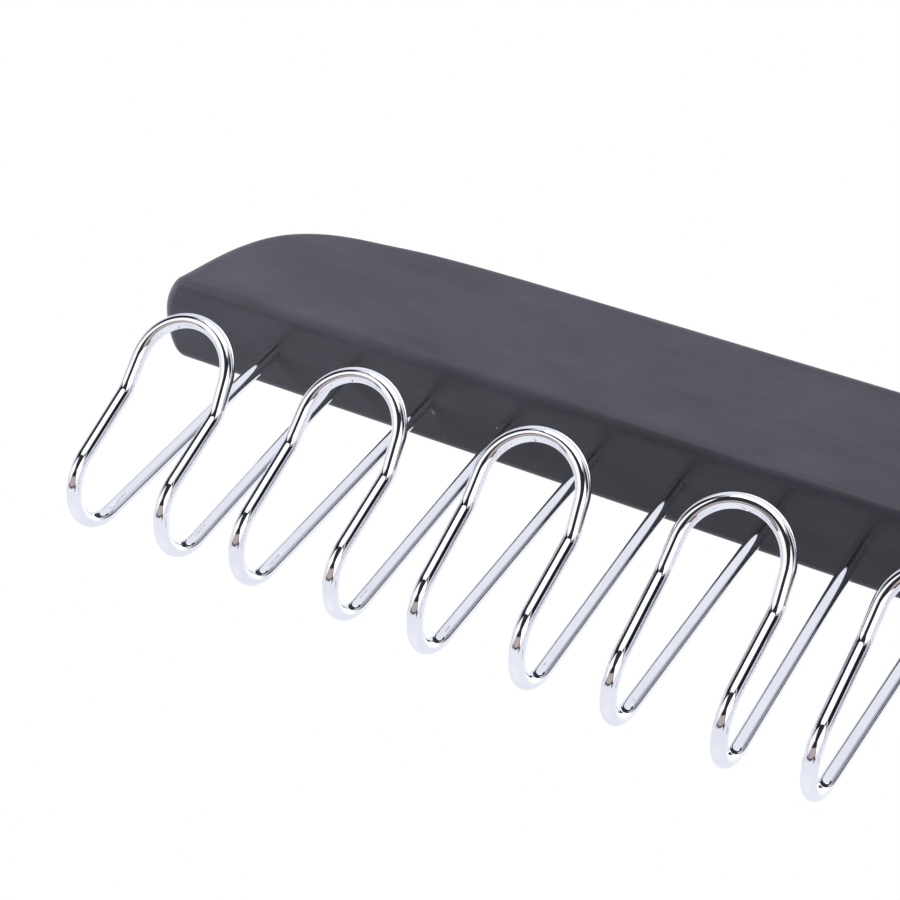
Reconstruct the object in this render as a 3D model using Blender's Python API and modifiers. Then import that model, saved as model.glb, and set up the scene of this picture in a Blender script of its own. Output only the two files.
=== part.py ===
"""Belt hanger: a wooden bar with a row of bent-wire belt hooks under it and a swivel hook on top.

Metres, +Z up, +X along the bar, the front of the bar faces -Y. The origin is the seat of the
wardrobe rod, at the inside of the swivel hook's crown, and the swivel turns about the Z axis.
"""

import math

import bmesh
import bpy
from mathutils import Matrix, Vector

MM = 0.001

# Clearances between pieces
FIT_GAP = 0.3 * MM
CUT_OVERRUN = 1.0 * MM
WELD_DISTANCE = 0.03 * MM

# Wooden bar
BAR_LENGTH = 378.0 * MM
BAR_THICKNESS = 18.0 * MM
BAR_HEIGHT = 28.0 * MM
BAR_EDGE_ROUND = 1.5 * MM
BAR_CORNER_EXTRA = 0.3 * MM

# Shoulder at each end of the bar: a steep rise from the end, then a flat run to the level top
SHOULDER_BEND_IN = 21.0 * MM
SHOULDER_BEND_DROP = 3.2 * MM
SHOULDER_LEVEL_IN = 69.6 * MM
SHOULDER_RISE_DEG = 80.0
SHOULDER_BEND_DEG = 9.2
SHOULDER_END_HANDLE = 10.9 * MM
SHOULDER_STEEP_HANDLE = 14.0 * MM
SHOULDER_FLAT_HANDLE = 16.4 * MM
SHOULDER_LEVEL_HANDLE = 23.1 * MM

# The ends are sanded round: how far the front and back faces draw in there, and over what length
END_ROUND_FRONT = 4.8 * MM
END_ROUND_BACK = 1.9 * MM
END_ROUND_LENGTH = 30.0 * MM
END_ROUND_POWER = 2.6
END_LAYER_SHARES = (-0.76, -0.5, -0.15, 0.3, 0.65)
END_FULLEST_SHARE = 0.3

# Belt hooks, which divide the bar's length evenly
HOOK_COUNT = 11
HOOK_WIRE = 2.4 * MM
HOOK_DROP = 52.3 * MM
HOOK_HOLE_COVER = 14.0 * MM
HOOK_HOLE_SPACING = 15.4 * MM
HOOK_BEND_SPACING = 17.1 * MM
HOOK_BEND_RADIUS = 6.9 * MM
HOOK_ARM_LENGTH = 12.9 * MM
HOOK_ARM_LEAN_DEG = 17.7
HOOK_NECK_SPACING = 17.5 * MM
HOOK_NECK_RADIUS = 5.0 * MM
HOOK_HEAD_LEAN_DEG = 41.9
HOOK_HEAD_RISE = 4.7 * MM
HOOK_HEAD_RADIUS = 8.4 * MM

# The wires are bent by hand, so no two are quite alike: each has its own turn about the vertical,
# its own sway along the bar and nod towards the front, and its own spread of the two holes
HOOK_TURNS_DEG = (-2.2, -0.7, -1.7, 0.8, -0.2, 0.9, -1.1, 0.4, 1.3, -0.6, 0.5)
HOOK_SWAYS_DEG = (-0.36, 0.14, -0.4, -0.52, 0.4, -0.1, 0.3, -0.35, 0.15, -0.25, 0.2)
HOOK_NODS_DEG = (0.43, 0.04, -0.07, 0.01, -0.19, 0.3, -0.25, 0.1, 0.2, -0.2, 0.1)
HOOK_SPREAD_SHARES = (0.98, 1.01, 1.01, 0.96, 1.03, 1.0, 0.98, 1.02, 0.99, 1.0, 0.98)

# Swivel hook
SWIVEL_WIRE = 4.0 * MM
ROD_SEAT_RADIUS = 20.0 * MM
REVERSE_BEND_RADIUS = 13.75 * MM
CROOK_END_DEG = 196.0
TIP_BEND_RADIUS = 9.0 * MM
TIP_BEND_DEG = 50.0
TIP_ROUND_SHARES = (0.86, 0.5)
SHANK_FREE_LENGTH = 3.1 * MM
SHANK_BELOW_NUT = 1.2 * MM

# Bush, washer and nut that hold the swivel hook in the bar
BUSH_WALL = 1.2 * MM
BUSH_FLANGE_RIM = 2.7 * MM
BUSH_FLANGE_HEIGHT = 1.6 * MM
BUSH_FLANGE_ROUND = 0.6 * MM
WASHER_RIM = 0.6 * MM
WASHER_THICKNESS = 1.0 * MM
NUT_WALL = 1.2 * MM
NUT_HEIGHT = 3.2 * MM
NUT_CHAMFER = 0.4 * MM
NUT_RIM_ANGLE_DEG = 75.0
COUNTERBORE_ROOM = 0.6 * MM
COUNTERBORE_RECESS = 3.0 * MM

# Facets
OUTLINE_STEPS = 9
CORNER_STEPS = 3
BEVEL_SEGMENTS = 2
BEVEL_PROFILE_SHARE = 0.5
BEND_STEPS = 9
NECK_STEPS = 2
HEAD_STEPS = 6
CROOK_STEPS = 26
REVERSE_STEPS = 7
TIP_STEPS = 5
WIRE_RESOLUTION = 2
SWIVEL_RESOLUTION = 3
HOLE_SIDES = 16
ROUND_SIDES = 32
HEX_SIDES = 6
SMOOTH_DEG = 35.0

# Radii and widths that follow from the sizes above
SHANK_BORE_RADIUS = SWIVEL_WIRE / 2 + FIT_GAP
BUSH_RADIUS = SHANK_BORE_RADIUS + BUSH_WALL
BUSH_BORE_RADIUS = BUSH_RADIUS + FIT_GAP
BUSH_FLANGE_RADIUS = BUSH_BORE_RADIUS + BUSH_FLANGE_RIM
WASHER_RADIUS = BUSH_BORE_RADIUS + WASHER_RIM
NUT_CORNER_RADIUS = (SHANK_BORE_RADIUS + NUT_WALL) / math.cos(math.pi / HEX_SIDES)
COUNTERBORE_RADIUS = max(WASHER_RADIUS, NUT_CORNER_RADIUS) + COUNTERBORE_ROOM
HOOK_HOLE_RADIUS = HOOK_WIRE / 2 + FIT_GAP
HOOK_HOLE_DEPTH = BAR_HEIGHT - HOOK_HOLE_COVER
BAR_CORNER_ROUND = BAR_EDGE_ROUND + BAR_CORNER_EXTRA
BAR_HALF_LENGTH = BAR_LENGTH / 2
HOOK_PITCH = BAR_LENGTH / (HOOK_COUNT + 1)
CROOK_RADIUS = ROD_SEAT_RADIUS + SWIVEL_WIRE / 2
REVERSE_DROP = math.sqrt(CROOK_RADIUS**2 + 2 * CROOK_RADIUS * REVERSE_BEND_RADIUS)

# Heights from the crown's seat down to the end of the shank
CROOK_CENTRE_Z = -ROD_SEAT_RADIUS
SHANK_TOP_Z = CROOK_CENTRE_Z - REVERSE_DROP
BUSH_TOP_Z = SHANK_TOP_Z - SHANK_FREE_LENGTH
BUSH_FLANGE_BASE_Z = BUSH_TOP_Z - BUSH_FLANGE_HEIGHT
BAR_TOP_Z = BUSH_FLANGE_BASE_Z - FIT_GAP
BAR_BOTTOM_Z = BAR_TOP_Z - BAR_HEIGHT
SHANK_END_Z = BAR_BOTTOM_Z + COUNTERBORE_RECESS
NUT_BOTTOM_Z = SHANK_END_Z + SHANK_BELOW_NUT
NUT_TOP_Z = NUT_BOTTOM_Z + NUT_HEIGHT
WASHER_BOTTOM_Z = NUT_TOP_Z + FIT_GAP
WASHER_TOP_Z = WASHER_BOTTOM_Z + WASHER_THICKNESS
COUNTERBORE_TOP_Z = WASHER_TOP_Z + FIT_GAP

# Finishes: base colour, metallic, roughness
LACQUER = ("satin_black_lacquer", (0.035, 0.035, 0.042, 1.0), 0.0, 0.38)
CHROME = ("bright_chrome", (0.82, 0.83, 0.85, 1.0), 1.0, 0.07)
ZINC = ("zinc_plate", (0.62, 0.63, 0.65, 1.0), 1.0, 0.3)


def clear_scene():
    for obj in list(bpy.data.objects):
        bpy.data.objects.remove(obj, do_unlink=True)


def new_collection(name):
    collection = bpy.data.collections.new(name)
    bpy.context.scene.collection.children.link(collection)
    return collection


def make_material(finish):
    name, colour, metallic, roughness = finish
    material = bpy.data.materials.new(name)
    material.use_nodes = True
    shader = material.node_tree.nodes["Principled BSDF"]
    shader.inputs["Base Color"].default_value = colour
    shader.inputs["Metallic"].default_value = metallic
    shader.inputs["Roughness"].default_value = roughness
    return material


def link_mesh(name, mesh, collection, material=None):
    obj = bpy.data.objects.new(name, mesh)
    collection.objects.link(obj)
    if material:
        mesh.materials.append(material)
    return obj


def arc(centre, radius, start_deg, end_deg, steps):
    """Points of an arc in a plane, both ends included."""
    points = []
    for i in range(steps + 1):
        angle = math.radians(start_deg + (end_deg - start_deg) * i / steps)
        points.append((centre[0] + radius * math.cos(angle), centre[1] + radius * math.sin(angle)))
    return points


def bezier(start, start_handle, end_handle, end, steps):
    """Points of a cubic curve, both ends included."""
    points = []
    for i in range(steps + 1):
        t = i / steps
        points.append(
            tuple(
                (1 - t) ** 3 * a + 3 * t * (1 - t) ** 2 * b + 3 * t * t * (1 - t) * c + t**3 * d
                for a, b, c, d in zip(start, start_handle, end_handle, end)
            )
        )
    return points


def offset(point, degrees, distance):
    angle = math.radians(degrees)
    return (point[0] + distance * math.cos(angle), point[1] + distance * math.sin(angle))


def shoulder_outline():
    """Left half of the bar seen from the front, from the underside round the end to the level top."""
    end_x = -BAR_HALF_LENGTH
    corner = (end_x + BAR_CORNER_ROUND, BAR_BOTTOM_Z + BAR_CORNER_ROUND)
    points = arc(corner, BAR_CORNER_ROUND, 270, 180, CORNER_STEPS)
    rise = points[-1]
    bend = (end_x + SHOULDER_BEND_IN, BAR_TOP_Z - SHOULDER_BEND_DROP)
    level = (end_x + SHOULDER_LEVEL_IN, BAR_TOP_Z)
    points += bezier(
        rise,
        offset(rise, SHOULDER_RISE_DEG, SHOULDER_END_HANDLE),
        offset(bend, SHOULDER_BEND_DEG, -SHOULDER_STEEP_HANDLE),
        bend,
        OUTLINE_STEPS,
    )[1:]
    points += bezier(
        bend,
        offset(bend, SHOULDER_BEND_DEG, SHOULDER_FLAT_HANDLE),
        offset(level, 0, -SHOULDER_LEVEL_HANDLE),
        level,
        OUTLINE_STEPS,
    )[1:]
    return points


def extruded_outline(points, thickness):
    """A mesh of a flat outline in the XZ plane, thickened evenly to the front and back."""
    curve = bpy.data.curves.new("outline", "CURVE")
    curve.dimensions = "2D"
    curve.fill_mode = "BOTH"
    curve.extrude = thickness / 2
    spline = curve.splines.new("POLY")
    spline.points.add(len(points) - 1)
    for point, (x, z) in zip(spline.points, points):
        point.co = (x, z, 0, 1)
    spline.use_cyclic_u = True
    obj = bpy.data.objects.new("outline", curve)
    bpy.context.scene.collection.objects.link(obj)
    obj.rotation_euler = (math.radians(90), 0, 0)
    bpy.context.view_layer.update()
    graph = bpy.context.evaluated_depsgraph_get()
    mesh = bpy.data.meshes.new_from_object(obj.evaluated_get(graph))
    mesh.transform(obj.matrix_world)
    bpy.data.objects.remove(obj, do_unlink=True)
    bpy.data.curves.remove(curve)
    return mesh


def end_draw_in(y):
    """How far the sanded end draws in at this depth: most at the two faces, nothing where fullest."""
    face = BAR_THICKNESS / 2
    fullest = END_FULLEST_SHARE * face
    if y < fullest:
        return END_ROUND_FRONT * ((fullest - y) / (fullest + face)) ** END_ROUND_POWER
    return END_ROUND_BACK * ((y - fullest) / (face - fullest)) ** END_ROUND_POWER


def rounded_board(outline):
    """The board cut to its outline, with its long edges rounded and its ends sanded round."""
    mesh = extruded_outline(outline, BAR_THICKNESS)
    body = bmesh.new()
    body.from_mesh(mesh)
    bmesh.ops.remove_doubles(body, verts=body.verts, dist=WELD_DISTANCE)
    broad = {f for f in body.faces if abs(f.normal.y) > math.cos(math.radians(SMOOTH_DEG))}
    rim = [e for e in body.edges if len(broad.intersection(e.link_faces)) == 1]
    bmesh.ops.bevel(
        body,
        geom=rim,
        offset=BAR_EDGE_ROUND,
        offset_type="OFFSET",
        segments=BEVEL_SEGMENTS,
        profile=BEVEL_PROFILE_SHARE,
        affect="EDGES",
    )
    for share in END_LAYER_SHARES:
        bmesh.ops.bisect_plane(
            body,
            geom=body.verts[:] + body.edges[:] + body.faces[:],
            plane_co=(0, share * BAR_THICKNESS / 2, 0),
            plane_no=(0, 1, 0),
        )
    for vert in body.verts:
        reach = (BAR_HALF_LENGTH - abs(vert.co.x)) / END_ROUND_LENGTH
        if reach < 1:
            fade = (1 - reach) ** 2 * (1 + 2 * reach)
            vert.co.x -= math.copysign(end_draw_in(vert.co.y) * fade, vert.co.x)
    bmesh.ops.recalc_face_normals(body, faces=body.faces)
    body.to_mesh(mesh)
    body.free()
    return mesh


def wooden_bar(collection, cutters, material):
    left = shoulder_outline()
    outline = left + [(-x, z) for x, z in reversed(left)]
    bar = link_mesh("wooden_bar", rounded_board(outline), collection, material)
    drill(bar, "hook_holes", hook_hole_cutter(cutters))
    drill(bar, "swivel_bore", swivel_bore_cutter(cutters))
    bar.data.shade_smooth()
    bar.data.set_sharp_from_angle(angle=math.radians(SMOOTH_DEG))


def drill(obj, name, cutter):
    cutter.hide_render = True
    cutter.display_type = "WIRE"
    cut = obj.modifiers.new(name, "BOOLEAN")
    cut.operation = "DIFFERENCE"
    cut.object = cutter


def add_cylinder(body, radius, low, high, place=(0, 0), sides=HOLE_SIDES):
    bmesh.ops.create_cone(
        body,
        cap_ends=True,
        segments=sides,
        radius1=radius,
        radius2=radius,
        depth=high - low,
        matrix=Matrix.Translation((*place, (low + high) / 2)),
    )


def hook_hole_cutter(cutters):
    """Two blind holes for the legs of each belt hook, where its own wire goes in."""
    body = bmesh.new()
    below = BAR_BOTTOM_Z - CUT_OVERRUN
    for i in range(HOOK_COUNT):
        path = hook_path(i)
        for end in (path[0], path[-1]):
            place = (end.x, end.y)
            add_cylinder(body, HOOK_HOLE_RADIUS, below, BAR_BOTTOM_Z + HOOK_HOLE_DEPTH, place)
    mesh = bpy.data.meshes.new("hook_hole_cutter")
    body.to_mesh(mesh)
    body.free()
    return link_mesh("hook_hole_cutter", mesh, cutters)


def swivel_bore_cutter(cutters):
    """The bush's bore from above and the counterbore for the washer and nut from below."""
    top = BAR_TOP_Z + CUT_OVERRUN
    below = BAR_BOTTOM_Z - CUT_OVERRUN
    profile = [
        (0, top),
        (BUSH_BORE_RADIUS, top),
        (BUSH_BORE_RADIUS, COUNTERBORE_TOP_Z),
        (COUNTERBORE_RADIUS, COUNTERBORE_TOP_Z),
        (COUNTERBORE_RADIUS, below),
        (0, below),
    ]
    return turned("swivel_bore_cutter", profile, cutters, closed=False)


def turned(name, profile, collection, material=None, closed=True):
    """A turned solid: a profile of (radius, height) points, run down its outer side, round Z."""
    mesh = bpy.data.meshes.new(name)
    points = [(radius, 0, height) for radius, height in profile]
    edges = [(i, i + 1) for i in range(len(points) - 1)]
    if closed:
        edges.append((len(points) - 1, 0))
    mesh.from_pydata(points, edges, [])
    obj = link_mesh(name, mesh, collection, material)
    screw = obj.modifiers.new("turn", "SCREW")
    screw.axis = "Z"
    screw.steps = ROUND_SIDES
    screw.render_steps = ROUND_SIDES
    screw.use_merge_vertices = True
    screw.merge_threshold = WELD_DISTANCE
    return obj


def hook_x(index):
    return (index - (HOOK_COUNT - 1) / 2) * HOOK_PITCH


def hook_side_path(side, spread):
    """Centre line of one side of a belt hook from its end in the bar to the middle of the head.

    Heights are measured from the bar's underside, and the legs are in the plane y = 0.
    """
    hole_x = side * spread * HOOK_HOLE_SPACING / 2
    bend_x = side * HOOK_BEND_SPACING / 2
    neck_x = side * HOOK_NECK_SPACING / 2
    bend_z = HOOK_BEND_RADIUS - HOOK_DROP
    path = [(hole_x, 0, HOOK_HOLE_DEPTH - FIT_GAP), (hole_x, 0, 0)]
    bend = arc((-HOOK_BEND_RADIUS, bend_z), HOOK_BEND_RADIUS, 0, HOOK_ARM_LEAN_DEG - 180, BEND_STEPS)
    path += [(bend_x, y, z) for y, z in bend]
    lean = math.radians(HOOK_ARM_LEAN_DEG)
    arm_y, arm_z = bend[-1]
    neck_y = arm_y - HOOK_ARM_LENGTH * math.sin(lean)
    neck_z = arm_z + HOOK_ARM_LENGTH * math.cos(lean)
    turn = math.radians(HOOK_HEAD_LEAN_DEG - HOOK_ARM_LEAN_DEG)
    cut_back = HOOK_NECK_RADIUS * math.tan(turn / 2)
    start_y = neck_y + cut_back * math.sin(lean)
    start_z = neck_z - cut_back * math.cos(lean)
    centre_y = start_y - HOOK_NECK_RADIUS * math.cos(lean)
    centre_z = start_z - HOOK_NECK_RADIUS * math.sin(lean)
    neck = arc(
        (centre_y, centre_z),
        HOOK_NECK_RADIUS,
        HOOK_ARM_LEAN_DEG,
        HOOK_HEAD_LEAN_DEG,
        NECK_STEPS,
    )
    path += [(neck_x, y, z) for y, z in neck]
    tilt = math.radians(HOOK_HEAD_LEAN_DEG)
    reach = math.hypot(HOOK_NECK_SPACING / 2, HOOK_HEAD_RISE)
    slope = math.atan2(HOOK_HEAD_RISE, HOOK_NECK_SPACING / 2)
    touch = math.degrees(math.acos(min(1, HOOK_HEAD_RADIUS / reach)) - slope)
    head = arc((0, HOOK_HEAD_RISE), HOOK_HEAD_RADIUS, touch, 90, HEAD_STEPS)
    path += [
        (side * x, neck_y - rise * math.sin(tilt), neck_z + rise * math.cos(tilt)) for x, rise in head
    ]
    return path


def hook_path(index):
    """The whole centre line of one belt hook, with its own small turn, sway and nod."""
    own = index % len(HOOK_TURNS_DEG)
    spread = HOOK_SPREAD_SHARES[own]
    left = hook_side_path(-1, spread)
    right = hook_side_path(1, spread)
    turn = Matrix.Rotation(math.radians(HOOK_TURNS_DEG[own]), 3, "Z")
    sway = math.tan(math.radians(HOOK_SWAYS_DEG[own]))
    nod = math.tan(math.radians(HOOK_NODS_DEG[own]))
    points = []
    for place in left + right[-2::-1]:
        point = turn @ Vector(place)
        below = min(point.z, 0)
        lean = Vector((below * sway, -below * nod, 0))
        points.append(point + lean + Vector((hook_x(index), 0, BAR_BOTTOM_Z)))
    return points


def wire(name, points, diameter, resolution, collection, material, radius_shares=None):
    curve = bpy.data.curves.new(name, "CURVE")
    curve.dimensions = "3D"
    curve.bevel_depth = diameter / 2
    curve.bevel_resolution = resolution
    curve.use_fill_caps = True
    curve.twist_mode = "MINIMUM"
    spline = curve.splines.new("POLY")
    spline.points.add(len(points) - 1)
    for i, point in enumerate(points):
        spline.points[i].co = (*point, 1)
        spline.points[i].radius = radius_shares[i] if radius_shares else 1
    spline.use_smooth = True
    obj = bpy.data.objects.new(name, curve)
    collection.objects.link(obj)
    curve.materials.append(material)


def swivel_path():
    """Centre line of the swivel hook in the XZ plane, from its threaded end to its tip."""
    path = [(0, SHANK_END_Z)]
    join = math.degrees(math.atan2(REVERSE_DROP, REVERSE_BEND_RADIUS))
    path += arc((REVERSE_BEND_RADIUS, SHANK_TOP_Z), REVERSE_BEND_RADIUS, 180, 180 - join, REVERSE_STEPS)
    crook = arc((0, CROOK_CENTRE_Z), CROOK_RADIUS, -join, CROOK_END_DEG, CROOK_STEPS)
    path += crook[1:]
    tip_centre = offset((0, CROOK_CENTRE_Z), CROOK_END_DEG, CROOK_RADIUS + TIP_BEND_RADIUS)
    start = CROOK_END_DEG - 180
    path += arc(tip_centre, TIP_BEND_RADIUS, start, start - TIP_BEND_DEG, TIP_STEPS)[1:]
    return path


def swivel_hook(collection, material):
    path = [(x, 0, z) for x, z in swivel_path()]
    tip = Vector(path[-1])
    along = (tip - Vector(path[-2])).normalized()
    shares = [1.0] * len(path)
    for share in TIP_ROUND_SHARES:
        path.append(tip + along * (SWIVEL_WIRE / 2) * math.sqrt(1 - share**2))
        shares.append(share)
    wire("swivel_hook", path, SWIVEL_WIRE, SWIVEL_RESOLUTION, collection, material, shares)


def hook_bush(collection, material):
    rim_centre = (BUSH_FLANGE_RADIUS - BUSH_FLANGE_ROUND, BUSH_TOP_Z - BUSH_FLANGE_ROUND)
    profile = [
        (SHANK_BORE_RADIUS, BUSH_TOP_Z),
        *arc(rim_centre, BUSH_FLANGE_ROUND, 90, 0, CORNER_STEPS),
        (BUSH_FLANGE_RADIUS, BUSH_FLANGE_BASE_Z),
        (BUSH_RADIUS, BUSH_FLANGE_BASE_Z),
        (BUSH_RADIUS, COUNTERBORE_TOP_Z),
        (SHANK_BORE_RADIUS, COUNTERBORE_TOP_Z),
    ]
    turned("hook_bush", profile, collection, material)


def retaining_washer(collection, material):
    profile = [
        (SHANK_BORE_RADIUS, WASHER_TOP_Z),
        (WASHER_RADIUS, WASHER_TOP_Z),
        (WASHER_RADIUS, WASHER_BOTTOM_Z),
        (SHANK_BORE_RADIUS, WASHER_BOTTOM_Z),
    ]
    turned("retaining_washer", profile, collection, material)


def retaining_nut(collection, cutters, material):
    body = bmesh.new()
    add_cylinder(body, NUT_CORNER_RADIUS, NUT_BOTTOM_Z, NUT_TOP_Z, sides=HEX_SIDES)
    mesh = bpy.data.meshes.new("retaining_nut")
    body.to_mesh(mesh)
    body.free()
    nut = link_mesh("retaining_nut", mesh, collection, material)
    chamfer = nut.modifiers.new("chamfer", "BEVEL")
    chamfer.width = NUT_CHAMFER
    chamfer.segments = 1
    chamfer.limit_method = "ANGLE"
    chamfer.angle_limit = math.radians(NUT_RIM_ANGLE_DEG)
    bore = bmesh.new()
    low = NUT_BOTTOM_Z - CUT_OVERRUN
    high = NUT_TOP_Z + CUT_OVERRUN
    add_cylinder(bore, SHANK_BORE_RADIUS, low, high, sides=ROUND_SIDES)
    bore_mesh = bpy.data.meshes.new("nut_bore_cutter")
    bore.to_mesh(bore_mesh)
    bore.free()
    drill(nut, "bore", link_mesh("nut_bore_cutter", bore_mesh, cutters))


def main():
    clear_scene()
    hanger = new_collection("belt_hanger")
    cutters = new_collection("cutters")
    lacquer = make_material(LACQUER)
    chrome = make_material(CHROME)
    zinc = make_material(ZINC)
    wooden_bar(hanger, cutters, lacquer)
    for i in range(HOOK_COUNT):
        wire(f"belt_hook_{i + 1:02d}", hook_path(i), HOOK_WIRE, WIRE_RESOLUTION, hanger, chrome)
    swivel_hook(hanger, chrome)
    hook_bush(hanger, chrome)
    retaining_washer(hanger, zinc)
    retaining_nut(hanger, cutters, zinc)


main()
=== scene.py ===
"""Belt hanger: a black lacquered bar, a row of bent chrome wire belt hooks and a swivel hook.

Metres, +Z up, +X along the bar, the front of the bar faces -Y. The origin is the seat of the
wardrobe rod, at the inside of the swivel hook's crown.
"""

import math

import bmesh
import bpy
from bpy.props import FloatProperty, FloatVectorProperty, IntProperty, PointerProperty
from mathutils import Matrix, Vector


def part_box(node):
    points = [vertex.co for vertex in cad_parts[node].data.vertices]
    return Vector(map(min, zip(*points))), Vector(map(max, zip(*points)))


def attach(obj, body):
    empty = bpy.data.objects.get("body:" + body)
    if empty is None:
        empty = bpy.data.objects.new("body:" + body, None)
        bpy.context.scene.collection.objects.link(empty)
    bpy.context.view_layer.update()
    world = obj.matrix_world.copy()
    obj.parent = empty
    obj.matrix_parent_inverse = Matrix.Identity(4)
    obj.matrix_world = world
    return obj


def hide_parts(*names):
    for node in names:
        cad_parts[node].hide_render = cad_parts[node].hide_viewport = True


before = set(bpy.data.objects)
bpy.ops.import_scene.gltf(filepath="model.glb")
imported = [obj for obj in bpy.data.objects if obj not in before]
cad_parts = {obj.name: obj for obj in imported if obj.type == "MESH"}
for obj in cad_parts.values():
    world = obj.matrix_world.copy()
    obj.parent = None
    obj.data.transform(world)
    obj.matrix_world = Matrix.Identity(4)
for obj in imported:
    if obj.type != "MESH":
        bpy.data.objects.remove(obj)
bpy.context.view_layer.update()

bl_info = {
    "name": "Belt Hanger",
    "version": (1, 0, 0),
    "blender": (4, 5, 0),
    "location": "3D View > Sidebar > Belt Hanger",
    "description": "Models a lacquered belt hanger with bent chrome wire hooks",
    "category": "Add Mesh",
}

MM = 0.001
MERGE = 0.01 * MM
OVERRUN = 1.0 * MM
WHITE = (1.0, 1.0, 1.0, 1.0)
SMOOTH_ANGLE = math.radians(35)
X_AXIS = Vector((1, 0, 0))
Y_AXIS = Vector((0, 1, 0))
Z_AXIS = Vector((0, 0, 1))

BAR_LOW, BAR_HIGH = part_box("wooden_bar")
BUSH_LOW, BUSH_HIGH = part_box("hook_bush")
WASHER_LOW, WASHER_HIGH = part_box("retaining_washer")
NUT_LOW, NUT_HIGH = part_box("retaining_nut")
SWIVEL_LOW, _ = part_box("swivel_hook")
HOOK_NODES = sorted(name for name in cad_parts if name.startswith("belt_hook_"))

# The wires are bent by hand: each hook has its own turn about the vertical, its own sway along
# the bar and nod towards the front, in degrees, and its own spread of the two holes
HOOK_TURNS = (-2.2, -0.7, -1.7, 0.8, -0.2, 0.9, -1.1, 0.4, 1.3, -0.6, 0.5)
HOOK_SWAYS = (-0.36, 0.14, -0.4, -0.52, 0.4, -0.1, 0.3, -0.35, 0.15, -0.25, 0.2)
HOOK_NODS = (0.43, 0.04, -0.07, 0.01, -0.19, 0.3, -0.25, 0.1, 0.2, -0.2, 0.1)
HOOK_SPREAD_SHARES = (0.98, 1.01, 1.01, 0.96, 1.03, 1.0, 0.98, 1.02, 0.99, 1.0, 0.98)


def length(name, description, default):
    return FloatProperty(
        name=name, description=description, default=default, min=0, unit="LENGTH", precision=4
    )


def angle(name, description, degrees):
    return FloatProperty(
        name=name, description=description, default=math.radians(degrees), subtype="ANGLE"
    )


def colour(name, description, default):
    return FloatVectorProperty(
        name=name, description=description, default=default, size=3, min=0, max=1, subtype="COLOR"
    )


def share(name, description, default):
    return FloatProperty(name=name, description=description, default=default, min=0, max=1)


class HANGER_PG_bar(bpy.types.PropertyGroup):
    """Sizes of the wooden bar"""

    length: length("Length", "Bar from end to end", BAR_HIGH.x - BAR_LOW.x)
    thickness: length("Thickness", "Bar from front to back", BAR_HIGH.y - BAR_LOW.y)
    height: length("Height", "Bar from underside to top", BAR_HIGH.z - BAR_LOW.z)
    edge_round: length("Edge Round", "Rounding of the edges of both faces", 1.9 * MM)
    corner_round: length("Corner Round", "Rounding where the end meets the underside", 2.3 * MM)
    bend_in: length("Bend In", "Shoulder's bend, in from the end", 29.2 * MM)
    bend_drop: length("Bend Drop", "Shoulder's bend, down from the top", 1.9 * MM)
    level_in: length("Level In", "Where the top becomes level, in from the end", 68.7 * MM)
    rise: angle("Rise", "Slope with which the end rises", 66)
    bend: angle("Bend", "Slope of the top at the shoulder's bend", 5.2)
    end_handle: length("End Handle", "Pull of the curve at the end", 8.7 * MM)
    steep_handle: length("Steep Handle", "Pull of the curve before the bend", 24.7 * MM)
    flat_handle: length("Flat Handle", "Pull of the curve after the bend", 8.3 * MM)
    level_handle: length("Level Handle", "Pull of the curve before the level top", 30.6 * MM)
    front_draw: length("Front Draw", "How far the end's front edge is sanded back", 5.0 * MM)
    back_draw: length("Back Draw", "How far the end's back edge is sanded back", 1.9 * MM)
    draw_length: length("Draw Length", "Length of bar over which the sanding fades", 30.0 * MM)
    hole_gap: length("Hole Gap", "Room round a belt hook's wire in its hole", 0.01 * MM)
    hole_flare: length("Hole Flare", "Broken edge at the mouth of a hole", 0.02 * MM)
    hole_cover: length("Hole Cover", "Wood left above a belt hook's hole", 14.0 * MM)


class HANGER_PG_hooks(bpy.types.PropertyGroup):
    """Sizes of one belt hook"""

    wire: length("Wire", "Diameter of the wire", 2.4 * MM)
    drop: length("Drop", "Underside of the bar to the bottom of the wire's centre line", 52.3 * MM)
    hole_spacing: length("Hole Spacing", "Between the two legs at the bar", 15.4 * MM)
    bend_spacing: length("Bend Spacing", "Between the two J bends", 17.1 * MM)
    bend_radius: length("Bend Radius", "Centre line radius of the J bends", 6.9 * MM)
    arm_length: length("Arm Length", "From the J bend to the neck", 12.9 * MM)
    arm_lean: angle("Arm Lean", "How far the arms lean to the front", 17.7)
    neck_spacing: length("Neck Spacing", "Between the two necks", 17.5 * MM)
    neck_radius: length("Neck Radius", "Centre line radius of the bend at the neck", 5.0 * MM)
    head_lean: angle("Head Lean", "How far the head leans to the front", 41.9)
    head_rise: length("Head Rise", "Neck to the middle of the round head", 4.7 * MM)
    head_radius: length("Head Radius", "Centre line radius of the head", 8.4 * MM)
    sides: IntProperty(name="Sides", description="Faces round the wire", default=48, min=8)


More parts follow.
